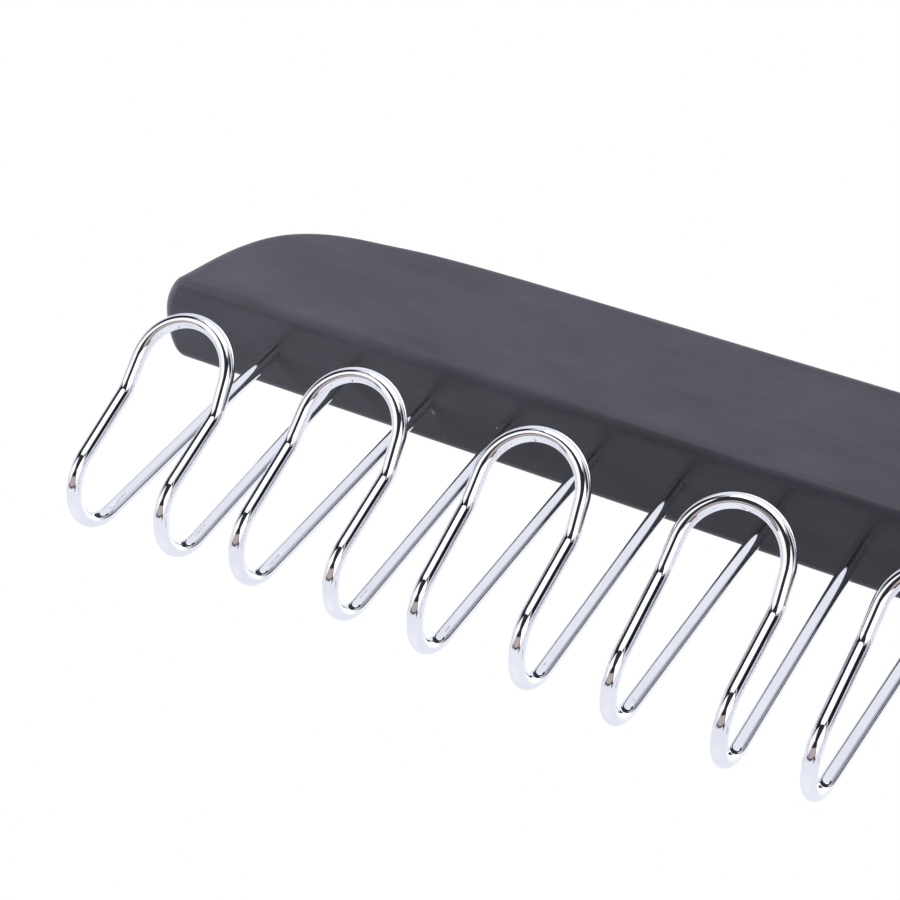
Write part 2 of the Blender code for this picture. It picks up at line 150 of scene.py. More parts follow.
class HANGER_PG_swivel(bpy.types.PropertyGroup):
    """Sizes of the swivel hook and of what holds it in the bar"""

    wire: length("Wire", "Diameter of the wire", 4.0 * MM)
    seat_radius: length("Seat Radius", "Inside radius of the crook", 20.0 * MM)
    reverse_radius: length("Reverse Radius", "Centre line radius of the bend over the bar", 13.75 * MM)
    crook_end: angle("Crook End", "Where the crook ends, from +X over the top", 196.0)
    tip_radius: length("Tip Radius", "Centre line radius of the turned-out tip", 9.0 * MM)
    tip_bend: angle("Tip Bend", "Turn of the tip", 50.0)
    thread_pitch: length("Thread Pitch", "Step of the thread at the end of the shank", 0.7 * MM)
    thread_depth: length("Thread Depth", "Depth of the thread", 0.24 * MM)
    fit_gap: length("Fit Gap", "Room between the wire and its bush", 0.3 * MM)
    bush_wall: length("Bush Wall", "Wall of the bush", 1.2 * MM)
    flange_height: length("Flange Height", "Height of the bush's flange", 1.6 * MM)
    flange_round: length("Flange Round", "Rounding of the flange's rim", 0.6 * MM)
    bush_edge: length("Bush Edge", "Chamfer on the bush's other edges", 0.2 * MM)
    counterbore_radius: length("Counterbore Radius", "Recess for the washer and nut", 5.0 * MM)
    counterbore_edge: length("Counterbore Edge", "Broken edge at the recess's mouth", 0.3 * MM)
    washer_round: length("Washer Round", "Rounding on the washer's punched side", 0.25 * MM)
    washer_edge: length("Washer Edge", "Chamfer on the washer's sharp side", 0.06 * MM)
    nut_chamfer: angle("Nut Chamfer", "Slope of the chamfer on the nut's corners", 30.0)
    nut_face_share: share("Nut Face Share", "The nut's round faces as a share of its width", 0.98)


class HANGER_PG_finish(bpy.types.PropertyGroup):
    """Colours and gloss of the finishes"""

    lacquer: colour("Lacquer", "Black lacquer on the bar", (0.061, 0.060, 0.080))
    lacquer_roughness: share("Lacquer Roughness", "Roughness of the satin lacquer", 0.45)
    under_roughness: share("Under Roughness", "The underside's share of the roughness", 0.68)
    lacquer_specular: share("Lacquer Specular", "How strongly the lacquer reflects", 0.35)
    dust: colour("Dust", "Specks of dust in the lacquer", (0.16, 0.16, 0.17))
    chrome: colour("Chrome", "Chrome plate on the wires", (0.90, 0.91, 0.93))
    chrome_roughness: share("Chrome Roughness", "Roughness of the chrome", 0.035)
    zinc: colour("Zinc", "Zinc plate on the washer and nut", (0.60, 0.61, 0.64))
    zinc_roughness: share("Zinc Roughness", "Roughness of the zinc plate", 0.34)
    glue: colour("Glue", "Dried glue at the holes", (0.30, 0.28, 0.24))
    glue_roughness: share("Glue Roughness", "Roughness of the dried glue", 0.45)


class HANGER_PG_stage(bpy.types.PropertyGroup):
    """Camera, floor and light"""

    camera_place: FloatVectorProperty(
        name="Camera Place",
        description="Where the camera stands",
        default=(0.044109, -0.250987, -0.339317),
        subtype="TRANSLATION",
    )
    camera_turn: FloatVectorProperty(
        name="Camera Turn",
        description="How the camera is turned",
        default=(math.radians(137.3138), math.radians(-31.0831), math.radians(4.5628)),
        subtype="EULER",
    )
    lens: FloatProperty(name="Lens", description="Focal length in millimetres", default=95.38)
    floor_drop: length("Floor Drop", "Floor below the rod seat", 0.46)
    floor: colour("Floor", "Pale floor", (0.80, 0.80, 0.81))
    room: colour("Room", "Light that comes from all round", (0.96, 0.98, 1.0))
    mirrored_room: colour("Mirrored Room", "What the chrome mirrors of the room", (0.87, 0.89, 0.98))
    world_light: share("World Light", "Strength of the light from all round", 0.50)


def settings(context):
    """The sizes of the bar, the belt hooks and the swivel hook."""
    return context.scene.hanger_bar, context.scene.hanger_hooks, context.scene.hanger_swivel


# Selecting and moving


def deselect_all():
    """Leaves edit mode and selects nothing."""
    if bpy.context.mode != "OBJECT":
        bpy.ops.object.mode_set(mode="OBJECT")
    bpy.ops.object.select_all(action="DESELECT")


def pick(piece):
    """Selects this piece alone and makes it the active one."""
    deselect_all()
    piece.select_set(True)
    bpy.context.view_layer.objects.active = piece


def edit(piece):
    """Goes into edit mode on this piece alone."""
    pick(piece)
    bpy.ops.object.mode_set(mode="EDIT")
    bpy.ops.mesh.select_mode(type="VERT")


def select_points(piece, test):
    """Selects the points whose place passes the test, and the edges and faces between them."""
    bpy.ops.mesh.select_mode(type="VERT")
    bpy.ops.mesh.select_all(action="DESELECT")
    body = bmesh.from_edit_mesh(piece.data)
    for point in body.verts:
        point.select = test(point.co)
    body.select_flush(True)
    bmesh.update_edit_mesh(piece.data)


def select_faces(piece, test):
    """Selects the faces that pass the test."""
    bpy.ops.mesh.select_mode(type="FACE")
    bpy.ops.mesh.select_all(action="DESELECT")
    body = bmesh.from_edit_mesh(piece.data)
    for face in body.faces:
        face.select = test(face)
    body.select_flush(True)
    bmesh.update_edit_mesh(piece.data)


def turn_points(degrees, axis, centre):
    """Turns the selected points right-handed; with no window the operator turns the other way."""
    bpy.ops.transform.rotate(
        value=-math.radians(degrees), orient_axis=axis, center_override=centre
    )


def place_in_mesh(piece):
    """Moves an object's place, turn and scale into its mesh."""
    pick(piece)
    bpy.ops.object.transform_apply(location=True, rotation=True, scale=True)


def add_modifier(piece, kind, **values):
    """Adds a modifier with these values and applies it."""
    pick(piece)
    bpy.ops.object.modifier_add(type=kind)
    modifier = piece.modifiers[-1]
    for name, value in values.items():
        setattr(modifier, name, value)
    bpy.ops.object.modifier_apply(modifier=modifier.name)


def cut_away(piece, cutter):
    """Cuts the cutter's shape out of the piece and removes the cutter."""
    add_modifier(piece, "BOOLEAN", operation="DIFFERENCE", object=cutter, solver="EXACT")
    bpy.data.objects.remove(cutter, do_unlink=True)


def finish_piece(piece, material, body, slot, *nodes):
    """Gives a modelled piece its faces, finish, body and the CAD nodes that it stands for."""
    edit(piece)
    bpy.ops.mesh.select_all(action="SELECT")
    bpy.ops.mesh.remove_doubles(threshold=MERGE)
    bpy.ops.mesh.normals_make_consistent(inside=False)
    bpy.ops.object.mode_set(mode="OBJECT")
    bpy.ops.object.shade_smooth_by_angle(angle=SMOOTH_ANGLE)
    piece.data.materials.clear()
    piece.data.materials.append(material)
    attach(piece, body)
    if nodes:
        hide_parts(*nodes)


class WireBender:
    """A wire former: the wire's last ring is fed straight on or bent round a centre beside it."""

    def __init__(self, name, place, heading, radius, sides):
        deselect_all()
        self.place = Vector(place)
        self.heading = Vector(heading)
        turn = self.heading.to_track_quat("Z", "Y").to_euler()
        bpy.ops.mesh.primitive_circle_add(
            vertices=sides, radius=radius, location=self.place, rotation=turn
        )
        self.piece = bpy.context.active_object
        self.piece.name = name
        place_in_mesh(self.piece)
        edit(self.piece)
        bpy.ops.mesh.select_all(action="SELECT")

    def run_to(self, place):
        """Feeds the wire to a place, which may lie a little off its heading."""
        step = Vector(place) - self.place
        bpy.ops.mesh.extrude_region_move(TRANSFORM_OT_translate={"value": step})
        self.place = self.place + step

    def feed(self, distance):
        """Feeds the wire straight on."""
        self.run_to(self.place + self.heading * distance)

    def bend(self, radius, turn, side, steps):
        """Bends the wire by an angle towards a side, round a centre at this radius. With no window
        the operator spins the other way."""
        centre = self.place + side * radius
        axis = self.heading.cross(side)
        bpy.ops.mesh.spin(steps=steps, angle=-turn, center=centre, axis=axis)
        rotation = Matrix.Rotation(turn, 3, axis)
        self.place = centre + rotation @ (self.place - centre)
        self.heading = rotation @ self.heading
        self.check()

    def swell(self, factor):
        """Makes the last ring wider or narrower."""
        bpy.ops.transform.resize(value=(factor, factor, factor), center_override=self.place)

    def check(self):
        """Stops the script if the last ring isn't where the bend should have brought it."""
        body = bmesh.from_edit_mesh(self.piece.data)
        ring = [point.co for point in body.verts if point.select]
        middle = sum(ring, Vector()) / len(ring)
        if (middle - self.place).length > MERGE:
            raise RuntimeError(f"{self.piece.name}: the bend went the wrong way")

    def close(self):
        """Closes the wire's ends and gives the piece."""
        bpy.ops.mesh.select_all(action="SELECT")
        bpy.ops.mesh.fill_holes(sides=0)
        bpy.ops.object.mode_set(mode="OBJECT")
        return self.piece


def turn_profile(name, profile, sides, closed=True, centre=(0, 0)):
    """A turned piece: a ring is extruded, resized and moved through (radius, height) points. A
    closed profile has a bore, an open one is filled at both ends."""
    deselect_all()
    radius, height = profile[0]
    bpy.ops.mesh.primitive_circle_add(
        vertices=sides, radius=radius, location=(*centre, height), calc_uvs=False
    )
    piece = bpy.context.active_object
    piece.name = name
    place_in_mesh(piece)
    edit(piece)
    bpy.ops.mesh.select_all(action="SELECT")
    for next_radius, next_height in profile[1:]:
        factor = next_radius / radius
        step = (0, 0, next_height - height)
        bpy.ops.mesh.extrude_region_move(TRANSFORM_OT_translate={"value": step})
        bpy.ops.transform.resize(
            value=(factor, factor, 1), center_override=(*centre, next_height)
        )
        radius, height = next_radius, next_height
    if closed:
        bpy.ops.mesh.select_mode(type="EDGE")
        bpy.ops.mesh.select_all(action="DESELECT")
        bpy.ops.mesh.select_non_manifold(extend=False)
        bpy.ops.mesh.bridge_edge_loops()
        bpy.ops.mesh.select_all(action="SELECT")
    else:
        bpy.ops.mesh.select_all(action="SELECT")
        bpy.ops.mesh.fill_holes(sides=0)
    bpy.ops.mesh.normals_make_consistent(inside=False)
    bpy.ops.object.mode_set(mode="OBJECT")
    return piece


def arc_points(centre, radius, start, end, steps):
    """Points of an arc in degrees, both ends included, for a turned profile."""
    points = []
    for i in range(steps + 1):
        turn = math.radians(start + (end - start) * i / steps)
        points.append((centre[0] + radius * math.cos(turn), centre[1] + radius * math.sin(turn)))
    return points


# Finishes

# Places of the sockets of a colour mix
MIX_FACTOR, MIX_FIRST, MIX_SECOND, MIX_RESULT = 0, 6, 7, 2

# What the dark lines of the grain leave of the lacquer's colour, and the height over the underside
# in which its extra gloss ends
GRAIN_SHADE = (0.82, 0.82, 0.82, 1.0)
RUBBED_HEIGHT = 1.0 * MM


def feed(tree, socket, value):
    """Links an output to this input, or sets the input to a value."""
    if isinstance(value, bpy.types.NodeSocket):
        tree.links.new(value, socket)
    else:
        socket.default_value = value


def add_node(tree, kind, *feeds, **values):
    """Adds a node and feeds its first inputs in order. A named value goes to the input of that
    name, or else on the node."""
    node = tree.nodes.new(kind)
    for name, value in values.items():
        socket = name.replace("_", " ")
        if socket in node.inputs:
            feed(tree, node.inputs[socket], value)
        else:
            setattr(node, name, value)
    for socket, value in zip(node.inputs, feeds):
        feed(tree, socket, value)
    return node


def maths(tree, operation, *feeds):
    return add_node(tree, "ShaderNodeMath", *feeds, operation=operation).outputs[0]


def mix_colour(tree, factor, first, second, **values):
    """A colour mix; each of the three is a socket or a value."""
    node = add_node(tree, "ShaderNodeMix", data_type="RGBA", **values)
    feed(tree, node.inputs[MIX_FACTOR], factor)
    feed(tree, node.inputs[MIX_FIRST], first)
    feed(tree, node.inputs[MIX_SECOND], second)
    return node.outputs[MIX_RESULT]


def mix_shaders(tree, factor, first, second):
    return add_node(tree, "ShaderNodeMixShader", factor, first, second).outputs[0]


def map_range(tree, value, low, high, new_low, new_high, smooth=True):
    """Takes a value from one range to another; each number may be a socket too."""
    node = add_node(
        tree,
        "ShaderNodeMapRange",
        interpolation_type="SMOOTHSTEP" if smooth else "LINEAR",
        Value=value,
        From_Min=low,
        From_Max=high,
        To_Min=new_low,
        To_Max=new_high,
    )
    return node.outputs["Result"]


def new_group(name, inputs, outputs):
    """A shader node group with named inputs (name, kind, default) and outputs (name, kind)."""
    group = bpy.data.node_groups.new(name, "ShaderNodeTree")
    for label, kind, default in inputs:
        socket = group.interface.new_socket(name=label, in_out="INPUT", socket_type=kind)
        if default is not None:
            socket.default_value = default
    for label, kind in outputs:
        group.interface.new_socket(name=label, in_out="OUTPUT", socket_type=kind)
    source = group.nodes.new("NodeGroupInput").outputs
    result = group.nodes.new("NodeGroupOutput").inputs
    return group, source, result


def stretched_noise_group():
    """Noise stretched along X: long grain, drawing marks or clouds, from 0 to 1."""
    name = "stretched noise"
    if name in bpy.data.node_groups:
        return bpy.data.node_groups[name]
    group, source, result = new_group(
        name,
        (
            ("Vector", "NodeSocketVector", None),
            ("Scale", "NodeSocketFloat", 100.0),
            ("Stretch", "NodeSocketFloat", 1.0),
            ("Detail", "NodeSocketFloat", 3.0),
            ("Low", "NodeSocketFloat", 0.35),
            ("High", "NodeSocketFloat", 0.65),
        ),
        (("Value", "NodeSocketFloat"),),
    )
    parts = add_node(group, "ShaderNodeSeparateXYZ", source["Vector"]).outputs
    along = maths(group, "DIVIDE", parts["X"], source["Stretch"])
    drawn = add_node(group, "ShaderNodeCombineXYZ", along, parts["Y"], parts["Z"]).outputs[0]
    noise = add_node(
        group,
        "ShaderNodeTexNoise",
        Vector=drawn,
        Scale=source["Scale"],
        Detail=source["Detail"],
        Roughness=0.55,
    ).outputs["Fac"]
    value = map_range(group, noise, source["Low"], source["High"], 0, 1, smooth=False)
    feed(group, result["Value"], value)
    return group


def specks_group():
    """Small scattered specks, from 0 to 1: dust, pinholes and rubbed spots."""
    name = "scattered specks"
    if name in bpy.data.node_groups:
        return bpy.data.node_groups[name]
    group, source, result = new_group(
        name,
        (
            ("Vector", "NodeSocketVector", None),
            ("Scale", "NodeSocketFloat", 300.0),
            ("Size", "NodeSocketFloat", 0.15),
            ("Share", "NodeSocketFloat", 0.1),
        ),
        (("Mask", "NodeSocketFloat"),),
    )
    cells = add_node(
        group, "ShaderNodeTexVoronoi", Vector=source["Vector"], Scale=source["Scale"]
    ).outputs
    near = map_range(group, cells["Distance"], 0, source["Size"], 1, 0, smooth=False)
    draw = add_node(group, "ShaderNodeSeparateColor", cells["Color"]).outputs[0]
    chosen = maths(group, "LESS_THAN", draw, source["Share"])
    feed(group, result["Mask"], maths(group, "MULTIPLY", near, chosen))
    return group


def use_group(tree, group, vector, **values):
    """Places a node group and gives its first output."""
    node = tree.nodes.new("ShaderNodeGroup")
    node.node_tree = group
    feed(tree, node.inputs["Vector"], vector)
    for name, value in values.items():
        feed(tree, node.inputs[name], value)
    return node.outputs[0]


def new_material(name, coordinates="Object"):
    """A material with its shader and its coordinates."""
    material = bpy.data.materials.new(name)
    material.use_nodes = True
    tree = material.node_tree
    place = tree.nodes.new("ShaderNodeTexCoord").outputs[coordinates]
    return material, tree, tree.nodes["Principled BSDF"], place


def add_bump(tree, shader, height, strength, distance, onto=None):
    """Bumps the surface by a height, on top of another bump where one is given."""
    bump = add_node(tree, "ShaderNodeBump", Strength=strength, Distance=distance, Height=height)
    if onto:
        feed(tree, bump.inputs["Normal"], onto)
    feed(tree, shader.inputs["Normal"], bump.outputs["Normal"])
    return bump.outputs["Normal"]


def with_alpha(rgb, factor=1.0):
    """An opaque colour, made lighter or darker by a factor."""
    return (*[min(1.0, part * factor) for part in rgb], 1.0)


def once(name, make):
    """The material of this name, made the first time that it is asked for."""
    return bpy.data.materials.get(name) or make(name)


def lacquer(name="satin black lacquer"):
    """Black satin lacquer over fine wood grain, glossier on the underside."""
    finish = bpy.context.scene.hanger_finish
    material, tree, shader, place = new_material(name)
    noise = stretched_noise_group()
    grain = use_group(tree, noise, place, Scale=900.0, Stretch=28.0, Detail=4.0, Low=0.15, High=0.85)
    clouds = use_group(tree, noise, place, Scale=160.0, Stretch=2.5, Detail=4.0, Low=0.1, High=0.9)
    peel = use_group(tree, noise, place, Scale=520.0, Stretch=1.4, Detail=2.0, Low=0.2, High=0.8)
    dust = use_group(tree, specks_group(), place, Scale=420.0, Size=0.1, Share=0.03)
    tone = mix_colour(tree, clouds, with_alpha(finish.lacquer, 0.6), with_alpha(finish.lacquer, 1.4))
    lines = mix_colour(tree, grain, GRAIN_SHADE, WHITE)
    grained = mix_colour(tree, 1.0, tone, lines, blend_type="MULTIPLY")
    dusted = mix_colour(tree, dust, grained, with_alpha(finish.dust))
    feed(tree, shader.inputs["Base Color"], dusted)
    rough = finish.lacquer_roughness
    gloss = map_range(tree, clouds, 0, 1, rough * 0.9, rough * 1.12, smooth=False)
    height = add_node(tree, "ShaderNodeSeparateXYZ", place).outputs["Z"]
    top = BAR_LOW.z + RUBBED_HEIGHT
    rubbed = map_range(tree, height, BAR_LOW.z, top, finish.under_roughness, 1)
    feed(tree, shader.inputs["Roughness"], maths(tree, "MULTIPLY", gloss, rubbed))
    shader.inputs["Specular IOR Level"].default_value = finish.lacquer_specular
    first = add_bump(tree, shader, peel, strength=0.12, distance=0.05 * MM)
    add_bump(tree, shader, grain, strength=0.16, distance=0.03 * MM, onto=first)
    return material


def chrome(name="bright chrome"):
    """Mirror chrome over drawn wire: slight waves, faint hazy patches and a few pinholes."""
    finish = bpy.context.scene.hanger_finish
    material, tree, shader, place = new_material(name)
    noise = stretched_noise_group()
    haze = use_group(tree, noise, place, Scale=160.0, Stretch=1.0, Detail=2.0, Low=0.35, High=0.75)
    waves = use_group(tree, noise, place, Scale=420.0, Stretch=1.0, Detail=1.0, Low=0.2, High=0.8)
    pits = use_group(tree, specks_group(), place, Scale=900.0, Size=0.16, Share=0.035)
    tone = mix_colour(tree, haze, with_alpha(finish.chrome), with_alpha(finish.chrome, 0.95))
    pitted = mix_colour(tree, pits, tone, with_alpha(finish.chrome, 0.45))
    feed(tree, shader.inputs["Base Color"], pitted)
    shader.inputs["Metallic"].default_value = 1.0
    rough = finish.chrome_roughness
    feed(tree, shader.inputs["Roughness"], map_range(tree, haze, 0, 1, rough * 0.7, rough * 1.6))
    first = add_bump(tree, shader, waves, strength=0.03, distance=0.03 * MM)
    add_bump(tree, shader, pits, strength=0.05, distance=0.01 * MM, onto=first)
    return material


def zinc(name="zinc plate"):
    """Dull zinc plate on small steel parts: spangled tone, rolled and tool marks."""
    finish = bpy.context.scene.hanger_finish
    material, tree, shader, place = new_material(name)
    noise = stretched_noise_group()
    spangle = use_group(tree, noise, place, Scale=700.0, Stretch=1.0, Detail=3.0, Low=0.35, High=0.65)
    marks = use_group(tree, noise, place, Scale=2600.0, Stretch=9.0, Detail=2.0, Low=0.3, High=0.7)
    tone = mix_colour(tree, spangle, with_alpha(finish.zinc, 0.82), with_alpha(finish.zinc, 1.1))
    feed(tree, shader.inputs["Base Color"], tone)
    shader.inputs["Metallic"].default_value = 1.0
    rough = finish.zinc_roughness
    feed(tree, shader.inputs["Roughness"], map_range(tree, spangle, 0, 1, rough * 0.8, rough * 1.3))
    add_bump(tree, shader, marks, strength=0.25, distance=0.03 * MM)
    return material


def glue(name="dried glue"):
    """Dried wood glue: a cloudy pale film over the lacquer."""
    finish = bpy.context.scene.hanger_finish
    material, tree, shader, place = new_material(name)
    noise = stretched_noise_group()
    clouds = use_group(tree, noise, place, Scale=1600.0, Stretch=1.0, Detail=3.0, Low=0.3, High=0.7)
    tone = mix_colour(tree, clouds, with_alpha(finish.glue, 0.55), with_alpha(finish.glue, 1.3))
    feed(tree, shader.inputs["Base Color"], tone)
    shader.inputs["Roughness"].default_value = finish.glue_roughness
    add_bump(tree, shader, clouds, strength=0.4, distance=0.05 * MM)
    return material


# Wooden bar

# Points of each curve of the outline, steps of the rims' rounding and faces round hole and bore
OUTLINE_STEPS = 22
RIM_STEPS = 6
HOLE_SIDES = 32
BORE_SIDES = 64

# Sanding of the ends: how sharply it grows towards the two faces, where the bar stays fullest as a
# share of half the thickness, layers across the thickness and what they keep clear of the rims'
# rounding, and the steps of its fade as shares of the draw length and of the draw
END_ROUND_POWER = 2.6
END_FULLEST_SHARE = 0.3
END_LAYERS = 12
END_LAYER_MARGIN = 0.25 * MM
END_FADE_SHARES = ((1.0, 0.3), (0.72, 0.4), (0.45, 0.3))


def hook_middle(index):
    """Where a belt hook's own axis meets the underside of the bar."""
    pitch = (BAR_HIGH.x - BAR_LOW.x) / (len(HOOK_NODES) + 1)
    return Vector(((index - (len(HOOK_NODES) - 1) / 2) * pitch, 0, BAR_LOW.z))


def hook_hole_places(index, hooks):
    """The middles of a belt hook's two holes."""
    reach = HOOK_SPREAD_SHARES[index] * hooks.hole_spacing / 2
    turn = math.radians(HOOK_TURNS[index])
    along = Vector((math.cos(turn), math.sin(turn), 0)) * reach
    return hook_middle(index) - along, hook_middle(index) + along


def outline_points(bar):
    """Bezier points (place, handle before, handle after) of the bar's left half, from the front."""
    left, low, high = BAR_LOW.x, BAR_LOW.z, BAR_HIGH.z
    corner = bar.corner_round
    # Handles of this length make the corner a quarter circle
    pull = corner * 4 / 3 * math.tan(math.pi / 8)
    rise = Vector((math.cos(bar.rise), math.sin(bar.rise))) * bar.end_handle
    slope = Vector((math.cos(bar.bend), math.sin(bar.bend)))
    foot = Vector((left + corner, low))
    end = Vector((left, low + corner))
    bend = Vector((left + bar.bend_in, high - bar.bend_drop))
    level = Vector((left + bar.level_in, high))
    flat = Vector((bar.level_handle, 0))
    return [
        (foot, foot + Vector((pull, 0)), foot - Vector((pull, 0))),
        (end, end - Vector((0, pull)), end + rise),
        (bend, bend - slope * bar.steep_handle, bend + slope * bar.flat_handle),
        (level, level - flat, level + flat),
    ]


def draw_outline(bar):
    """The bar's outline as a closed curve, made a mesh."""
    deselect_all()
    bpy.ops.curve.primitive_bezier_curve_add()
    piece = bpy.context.active_object
    piece.name = "lacquered_bar"
    piece.data.resolution_u = OUTLINE_STEPS
    left = outline_points(bar)
    right = [
        tuple(Vector((-point.x, point.y)) for point in (place, after, before))
        for place, before, after in reversed(left)
    ]
    spline = piece.data.splines[0]
    spline.bezier_points.add(len(left + right) - len(spline.bezier_points))
    for point, (place, before, after) in zip(spline.bezier_points, left + right):
        point.handle_left_type = "FREE"
        point.handle_right_type = "FREE"
        point.co = (place.x, 0, place.y)
        point.handle_left = (before.x, 0, before.y)
        point.handle_right = (after.x, 0, after.y)
    spline.use_cyclic_u = True
    bpy.ops.object.convert(target="MESH")
    return piece


def thicken_board(piece, bar):
    """Fills the outline and extrudes it to the board."""
    edit(piece)
    bpy.ops.mesh.select_all(action="SELECT")
    bpy.ops.mesh.remove_doubles(threshold=MERGE)
    bpy.ops.mesh.edge_face_add()
    bpy.ops.transform.translate(value=(0, BAR_LOW.y, 0))
    bpy.ops.mesh.extrude_region_move(TRANSFORM_OT_translate={"value": (0, bar.thickness, 0)})
    bpy.ops.mesh.select_all(action="SELECT")
    bpy.ops.mesh.normals_make_consistent(inside=False)


def end_draw_in(bar, y):
    """How far the sanded end draws in at this depth: most at the two faces."""
    face = bar.thickness / 2
    fullest = END_FULLEST_SHARE * face
    if y < fullest:
        return bar.front_draw * ((fullest - y) / (fullest + face)) ** END_ROUND_POWER
    return bar.back_draw * ((y - fullest) / (face - fullest)) ** END_ROUND_POWER


def sand_ends(piece, bar):
    """Rounds the two ends in plan: each layer of the board is drawn in, in steps that fade out."""
    outer = bar.thickness / 2 - bar.edge_round - END_LAYER_MARGIN
    layers = [outer * (2 * i / END_LAYERS - 1) for i in range(END_LAYERS + 1)]
    for y in layers:
        bpy.ops.mesh.select_all(action="SELECT")
        bpy.ops.mesh.bisect(plane_co=(0, y, 0), plane_no=Y_AXIS)
    for y in (BAR_LOW.y, *layers, BAR_HIGH.y):
        for side in (-1, 1):
            for reach_share, draw_share in END_FADE_SHARES:
                reach = reach_share * bar.draw_length
                start = side * (bar.length / 2 - reach)
                pull = draw_share * end_draw_in(bar, y)
                select_points(
                    piece, lambda co: abs(co.y - y) < MERGE and (co.x - start) * side > 0
                )
                bpy.ops.transform.resize(
                    value=(1 - pull / reach, 1, 1), center_override=(start, 0, 0)
                )


def round_rims(piece, bar):
    """Rounds the edges of both faces."""
    select_faces(piece, lambda face: abs(face.normal.y) > math.cos(SMOOTH_ANGLE))
    bpy.ops.mesh.region_to_loop()
    bpy.ops.mesh.bevel(
        offset_type="OFFSET", offset=bar.edge_round, segments=RIM_STEPS, affect="EDGES"
    )
    bpy.ops.object.mode_set(mode="OBJECT")


def hole_cutter(bar, hooks, place):
    """A drill for one belt hook hole, with a broken edge at its mouth."""
    radius = hooks.wire / 2 + bar.hole_gap
    mouth = radius + bar.hole_flare
    depth = bar.height - bar.hole_cover
    profile = [
        (mouth, place.z - OVERRUN),
        (mouth, place.z),
        (radius, place.z + bar.hole_flare),
        (radius, place.z + depth),
    ]
    return turn_profile("hole_cutter", profile, HOLE_SIDES, closed=False, centre=place.xy)


def bore_cutter(bar, swivel):
    """The bush's bore from above and the counterbore for the washer and nut from below."""
    bore = swivel.wire / 2 + swivel.fit_gap + swivel.bush_wall + swivel.fit_gap
    recess = swivel.counterbore_radius
    edge = swivel.counterbore_edge
    step = WASHER_HIGH.z + swivel.fit_gap
    profile = [
        (bore, BAR_HIGH.z + OVERRUN),
        (bore, step),
        (recess, step),
        (recess, BAR_LOW.z + edge),
        (recess + edge, BAR_LOW.z),
        (recess + edge, BAR_LOW.z - OVERRUN),
    ]
    return turn_profile("bore_cutter", profile, BORE_SIDES, closed=False)


class HANGER_OT_wooden_bar(bpy.types.Operator):
    """Models the lacquered bar with its sanded ends, hook holes and swivel bore"""

    bl_idname = "hanger.wooden_bar"
    bl_label = "Wooden Bar"

    def execute(self, context):
        bar, hooks, swivel = settings(context)
        piece = draw_outline(bar)
        thicken_board(piece, bar)
        sand_ends(piece, bar)
        round_rims(piece, bar)
        cutters = [
            hole_cutter(bar, hooks, place)
            for index in range(len(HOOK_NODES))
            for place in hook_hole_places(index, hooks)
        ]
        deselect_all()
        for cutter in cutters:
            cutter.select_set(True)
        bpy.context.view_layer.objects.active = cutters[0]
        bpy.ops.object.join()
        cut_away(piece, cutters[0])
        cut_away(piece, bore_cutter(bar, swivel))
        finish_piece(
            piece, once("satin black lacquer", lacquer), "belt_rail", "satin_black_lacquer", "wooden_bar"
        )
        add_modifier(piece, "WEIGHTED_NORMAL", keep_sharp=True, weight=100)
        return {"FINISHED"}


# Belt hooks

# Rings of each bend of the wire
J_BEND_STEPS = 40
NECK_STEPS = 9
FLARE_STEPS = 3
HEAD_STEPS = 28


def bend_half_hook(hooks, bar):
    """The right half of a belt hook, from its end in the bar to the middle of its head."""
    hole = hooks.hole_spacing / 2
    bend = hooks.bend_spacing / 2
    neck = hooks.neck_spacing / 2
    depth = bar.height - bar.hole_cover - bar.hole_gap
    under = BAR_LOW.z
    lean = hooks.arm_lean
    turn = hooks.head_lean - lean
    cut_back = hooks.neck_radius * math.tan(turn / 2)
    former = WireBender(
        "belt_hook", (hole, 0, under + depth), -Z_AXIS, hooks.wire / 2, hooks.sides
    )
    former.run_to((hole, 0, under))
    former.run_to((bend, 0, under - hooks.drop + hooks.bend_radius))
    former.bend(hooks.bend_radius, math.pi - lean, -Y_AXIS, J_BEND_STEPS)
    end = former.place + former.heading * (hooks.arm_length - cut_back)
    former.run_to((neck, end.y, end.z))
    former.bend(hooks.neck_radius, turn, X_AXIS.cross(former.heading), NECK_STEPS)
    reach = math.hypot(neck, hooks.head_rise)
    touch = math.acos(hooks.head_radius / reach) - math.atan2(hooks.head_rise, neck)
    inward = Y_AXIS * math.cos(hooks.head_lean) + Z_AXIS * math.sin(hooks.head_lean)
    former.bend(hooks.neck_radius, touch, former.heading.cross(inward), FLARE_STEPS)
    straight = math.sqrt(reach**2 - hooks.head_radius**2) - cut_back
    former.feed(straight)
    around = math.pi / 2 - touch
    former.bend(hooks.head_radius, around, former.heading.cross(inward), HEAD_STEPS)
    bpy.ops.transform.resize(value=(0, 1, 1), center_override=(0, 0, 0))
    bpy.ops.object.mode_set(mode="OBJECT")
    return former.piece


def bend_hook(hooks, bar):
    """A whole belt hook in the middle of the bar: one half, mirrored, with closed ends."""
    piece = bend_half_hook(hooks, bar)
    add_modifier(piece, "MIRROR", merge_threshold=MERGE)
    edit(piece)
    bpy.ops.mesh.select_all(action="SELECT")
    bpy.ops.mesh.fill_holes(sides=0)
    bpy.ops.mesh.normals_make_consistent(inside=False)
    bpy.ops.object.mode_set(mode="OBJECT")
    return piece


